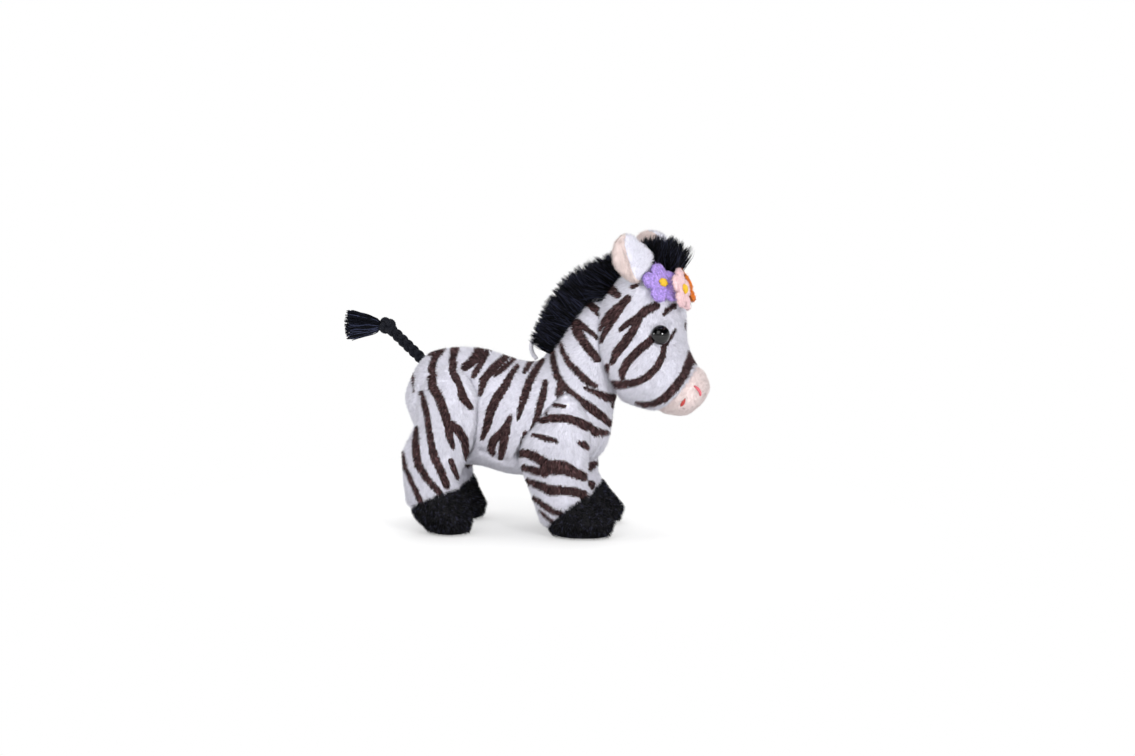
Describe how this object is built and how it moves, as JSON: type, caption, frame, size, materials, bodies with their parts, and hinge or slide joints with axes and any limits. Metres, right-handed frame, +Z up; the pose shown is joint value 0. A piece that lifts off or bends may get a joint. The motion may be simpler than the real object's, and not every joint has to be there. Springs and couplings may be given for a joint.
{
  "type": "plush zebra",
  "caption": "Small standing plush zebra with brown printed stripes, black hooves and mane, braided tail and felt flowers; head, ears, legs and tail flex.",
  "frame": {"origin": "centre of the bounding box on the floor under the hooves", "axes": "+X towards the nose, -Y towards the animal's right side, +Z up"},
  "size_m": [0.1325, 0.0492, 0.1092],
  "materials": {
    "striped_plush": "short pile plush, white with dark brown printed stripes",
    "white_plush": "short pile plush",
    "black_plush": "short pile plush",
    "pink_plush": "short pile plush",
    "peach_plush": "short pile plush",
    "hair": "long pile faux fur",
    "fibre": "loose polyester fibre",
    "black_yarn": "spun yarn",
    "loop_cord": "twisted cord",
    "yellow_thread": "embroidery thread",
    "nose_thread": "embroidery thread",
    "mouth_thread": "embroidery thread",
    "purple_felt": "felt",
    "pink_felt": "felt",
    "orange_felt": "felt",
    "eye_plastic": "polished",
    "washer_plastic": "moulded"
  },
  "bodies": {
    "torso": {"body_panel_right": "striped_plush", "body_panel_left": "striped_plush", "belly_gusset": "white_plush", "body_stuffing": "fibre", "mane": "hair", "hang_loop": "loop_cord"},
    "neck": {"neck_wad": "fibre"},
    "head": {"head_panel_right": "striped_plush", "head_panel_left": "striped_plush", "head_stuffing": "fibre", "eye_right": "eye_plastic", "eye_washer_right": "washer_plastic", "nostril_stitch_right": "nose_thread", "mouth_stitch_right": "mouth_thread", "eye_left": "eye_plastic", "eye_washer_left": "washer_plastic", "nostril_stitch_left": "nose_thread", "mouth_stitch_left": "mouth_thread", "flower_purple": "purple_felt", "flower_knot_purple": "yellow_thread", "flower_pink": "pink_felt", "flower_knot_pink": "yellow_thread", "flower_orange": "orange_felt", "flower_knot_orange": "yellow_thread", "muzzle": "pink_plush", "forelock": "hair"},
    "ear_right": {"ear_front_right": "white_plush", "ear_back_right": "peach_plush"},
    "ear_left": {"ear_front_left": "white_plush", "ear_back_left": "peach_plush"},
    "rear_right_leg": {"rear_right_skin": "striped_plush", "rear_right_hoof": "black_plush", "rear_right_sole": "black_plush", "rear_right_stuffing": "fibre"},
    "rear_left_leg": {"rear_left_skin": "striped_plush", "rear_left_hoof": "black_plush", "rear_left_sole": "black_plush", "rear_left_stuffing": "fibre"},
    "front_right_leg": {"front_right_skin": "striped_plush", "front_right_hoof": "black_plush", "front_right_sole": "black_plush", "front_right_stuffing": "fibre"},
    "front_left_leg": {"front_left_skin": "striped_plush", "front_left_hoof": "black_plush", "front_left_sole": "black_plush", "front_left_stuffing": "fibre"},
    "tail": {"tail_braid": "black_yarn"},
    "tuft": {"tail_knot": "black_yarn", "tail_tassel": "black_yarn"}
  },
  "joints": [
    {"name": "head_turn", "type": "hinge", "parent": "torso", "child": "neck", "pos_m": [0.037, 0, 0.07], "axis": [0, 0, 1], "range_deg": [-12, 12], "stiffness_Nm_per_rad": 0.05},
    {"name": "head_nod", "type": "hinge", "parent": "neck", "child": "head", "pos_m": [0.037, 0, 0.07], "axis": [0.0698, 0.9976, 0], "range_deg": [-6, 8], "stiffness_Nm_per_rad": 0.05},
    {"name": "ear_right_fold", "type": "hinge", "parent": "head", "child": "ear_right", "pos_m": [0.04147, -0.01686, 0.09364], "axis": [0.7196, 0.6005, 0.3487], "range_deg": [-12, 20], "stiffness_Nm_per_rad": 0.002},
    {"name": "ear_left_fold", "type": "hinge", "parent": "head", "child": "ear_left", "pos_m": [0.04341, 0.01801, 0.09065], "axis": [-0.6458, 0.7094, -0.2823], "range_deg": [-12, 20], "stiffness_Nm_per_rad": 0.002},
    {"name": "rear_right_hip", "type": "hinge", "parent": "torso", "child": "rear_right_leg", "pos_m": [-0.027, -0.0073, 0.046], "axis": [0, 1, 0], "range_deg": [-12, 12], "stiffness_Nm_per_rad": 0.15},
    {"name": "rear_left_hip", "type": "hinge", "parent": "torso", "child": "rear_left_leg", "pos_m": [-0.027, 0.0073, 0.046], "axis": [0, 1, 0], "range_deg": [-12, 12], "stiffness_Nm_per_rad": 0.15},
    {"name": "front_right_hip", "type": "hinge", "parent": "torso", "child": "front_right_leg", "pos_m": [0.014, -0.0073, 0.041], "axis": [0, 1, 0], "range_deg": [-12, 12], "stiffness_Nm_per_rad": 0.15},
    {"name": "front_left_hip", "type": "hinge", "parent": "torso", "child": "front_left_leg", "pos_m": [0.014, 0.0073, 0.041], "axis": [0, 1, 0], "range_deg": [-12, 12], "stiffness_Nm_per_rad": 0.15},
    {"name": "tail_lift", "type": "hinge", "parent": "torso", "child": "tail", "pos_m": [-0.03966, 0, 0.0622], "axis": [0, 1, 0], "range_deg": [-30, 25], "stiffness_Nm_per_rad": 0.003},
    {"name": "tuft_swing", "type": "hinge", "parent": "tail", "child": "tuft", "pos_m": [-0.05092, 0, 0.07284], "axis": [0, 1, 0], "range_deg": [-35, 35], "stiffness_Nm_per_rad": 0.001}
  ]
}
